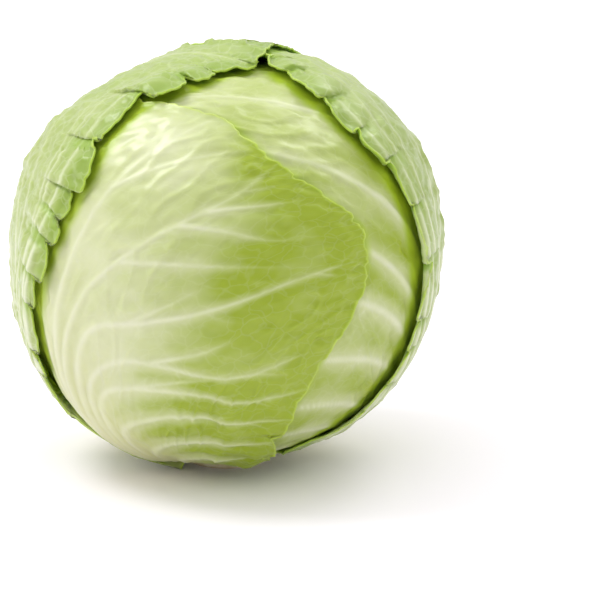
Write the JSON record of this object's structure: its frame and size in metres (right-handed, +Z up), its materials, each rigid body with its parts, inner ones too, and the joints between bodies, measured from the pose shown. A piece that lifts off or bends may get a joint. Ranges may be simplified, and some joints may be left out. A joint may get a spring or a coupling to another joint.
{
  "type": "cabbage head",
  "caption": "Round white cabbage head with waved, veined outer leaves closed over a packed heart, standing on its cut stalk.",
  "frame": {"origin": "middle of the stalk's cut face, on the surface that the head rests on", "axes": "+Z up from the cut face to the crown, -Y towards the head's front, +X to its right seen from the front"},
  "size_m": [0.1941, 0.1937, 0.1847],
  "materials": {
    "stalk": "matt cut plant fibre, pale beige",
    "heart_leaf": "waxy, cream",
    "pale_leaf": "waxy soft gloss, pale yellow-green with near-white veins",
    "green_leaf": "waxy soft gloss, mid green with pale veins and a bluish bloom"
  },
  "bodies": {
    "root": {"stalk": "stalk", "heart": "heart_leaf", "inner_leaf_back": "pale_leaf", "inner_leaf_left": "pale_leaf", "inner_leaf_right": "pale_leaf", "crown_leaf": "pale_leaf", "back_leaf": "green_leaf", "front_leaf": "pale_leaf", "right_wrapper_leaf": "green_leaf", "left_wrapper_leaf": "green_leaf"}
  },
  "joints": []
}
